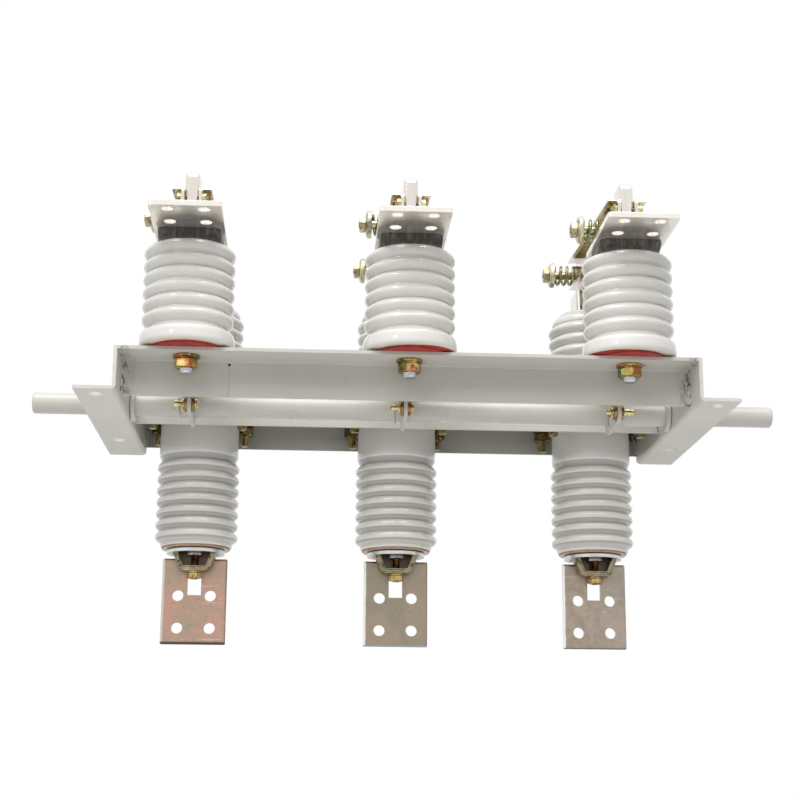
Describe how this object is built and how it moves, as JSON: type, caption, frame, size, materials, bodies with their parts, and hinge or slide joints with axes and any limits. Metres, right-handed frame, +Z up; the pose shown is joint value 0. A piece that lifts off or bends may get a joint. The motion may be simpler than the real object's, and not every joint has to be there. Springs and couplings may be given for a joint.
{
  "type": "indoor three-phase knife disconnector",
  "caption": "Indoor medium-voltage knife disconnector: steel frame, ribbed post insulators, through-bushings, clamped blades and a crank shaft with insulating pull rods that lift them.",
  "frame": {"origin": "underside of the left mounting flange, midway between its two bolt holes", "axes": "+X along the shaft from the left end angle to the right one, +Y from the fixed contacts to the blade hinges, +Z up"},
  "size_m": [0.888, 0.4365, 0.5145],
  "materials": {
    "frame_paint": "light grey-beige air-drying paint, slightly uneven",
    "bare_steel": "turned steel",
    "yellow_zinc": "yellow chromate over zinc, with rainbow tints",
    "red_rubber": "matt red sheet rubber",
    "black_cast": "black enamel on casting",
    "brown_gasket": "orange-brown pressed gasket",
    "tin_plate": "bright plated disc",
    "shaft_paint": "same grey-beige paint as the frame",
    "porcelain": "pale grey glaze, glossy",
    "silver_plate": "silver-plated copper, slightly tarnished",
    "warm_plate": "plated copper with a warm tarnish",
    "rod_resin": "pale grey glazed insulating body"
  },
  "bodies": {
    "frame": {"left_end_angle": "frame_paint", "right_end_angle": "frame_paint", "front_beam": "frame_paint", "middle_beam": "frame_paint", "rear_beam": "frame_paint", "shaft_bearings": "bare_steel", "post_stud_nuts": "yellow_zinc", "post_gaskets": "red_rubber", "post_caps": "black_cast", "bushing_flange_bolts": "yellow_zinc", "end_gaskets": "brown_gasket", "end_discs": "tin_plate", "straps": "yellow_zinc", "strap_bolts": "yellow_zinc", "left_post_insulator": "porcelain", "left_top_terminal": "silver_plate", "left_fixed_contact": "silver_plate", "left_bushing": "porcelain", "left_bushing_flange": "black_cast", "left_hinge_contact": "silver_plate", "left_bottom_terminal": "warm_plate", "middle_post_insulator": "porcelain", "middle_top_terminal": "silver_plate", "middle_fixed_contact": "silver_plate", "middle_bushing": "porcelain", "middle_bushing_flange": "black_cast", "middle_hinge_contact": "silver_plate", "middle_bottom_terminal": "silver_plate", "right_post_insulator": "porcelain", "right_top_terminal": "silver_plate", "right_fixed_contact": "silver_plate", "right_bushing": "porcelain", "right_bushing_flange": "black_cast", "right_hinge_contact": "silver_plate", "right_bottom_terminal": "silver_plate"},
    "shaft": {"main_shaft": "shaft_paint", "crank_arms": "shaft_paint", "crank_pins": "yellow_zinc"},
    "left_blade": {"left_blade_pair": "silver_plate", "left_lock_bars": "yellow_zinc", "left_blade_bolts": "yellow_zinc", "left_springs": "yellow_zinc"},
    "left_rod": {"left_pull_rod_insulator": "rod_resin", "left_pull_rod_ends": "bare_steel"},
    "middle_blade": {"middle_blade_pair": "silver_plate", "middle_lock_bars": "yellow_zinc", "middle_blade_bolts": "yellow_zinc", "middle_springs": "yellow_zinc"},
    "middle_rod": {"middle_pull_rod_insulator": "rod_resin", "middle_pull_rod_ends": "bare_steel"},
    "right_blade": {"right_blade_pair": "silver_plate", "right_lock_bars": "yellow_zinc", "right_blade_bolts": "yellow_zinc", "right_springs": "yellow_zinc"},
    "right_rod": {"right_pull_rod_insulator": "rod_resin", "right_pull_rod_ends": "bare_steel"}
  },
  "joints": [
    {"name": "shaft_turn", "type": "hinge", "parent": "frame", "child": "shaft", "pos_m": [0.35, 0.013, 0.02], "axis": [-1, 0, 0], "range_deg": [0, 60]},
    {"name": "left_blade_hinge", "type": "hinge", "parent": "frame", "child": "left_blade", "pos_m": [0.1, 0.143, 0.238], "axis": [-1, 0, 0], "range_deg": [0, 60]},
    {"name": "middle_blade_hinge", "type": "hinge", "parent": "frame", "child": "middle_blade", "pos_m": [0.35, 0.143, 0.238], "axis": [-1, 0, 0], "range_deg": [0, 60]},
    {"name": "right_blade_hinge", "type": "hinge", "parent": "frame", "child": "right_blade", "pos_m": [0.6, 0.143, 0.238], "axis": [-1, 0, 0], "range_deg": [0, 60]},
    {"name": "left_rod_pivot", "type": "hinge", "parent": "shaft", "child": "left_rod", "pos_m": [0.1, -0.04786, 0.00817], "axis": [-1, 0, 0], "range_deg": [-60, 0]},
    {"name": "middle_rod_pivot", "type": "hinge", "parent": "shaft", "child": "middle_rod", "pos_m": [0.35, -0.04786, 0.00817], "axis": [-1, 0, 0], "range_deg": [-60, 0]},
    {"name": "right_rod_pivot", "type": "hinge", "parent": "shaft", "child": "right_rod", "pos_m": [0.6, -0.04786, 0.00817], "axis": [-1, 0, 0], "range_deg": [-60, 0]}
  ],
  "couplings": [
    {"joint": "left_blade_hinge", "follows": "shaft_turn", "ratio": 1},
    {"joint": "middle_blade_hinge", "follows": "shaft_turn", "ratio": 1},
    {"joint": "right_blade_hinge", "follows": "shaft_turn", "ratio": 1},
    {"joint": "left_rod_pivot", "follows": "shaft_turn", "ratio": -1},
    {"joint": "middle_rod_pivot", "follows": "shaft_turn", "ratio": -1},
    {"joint": "right_rod_pivot", "follows": "shaft_turn", "ratio": -1}
  ]
}
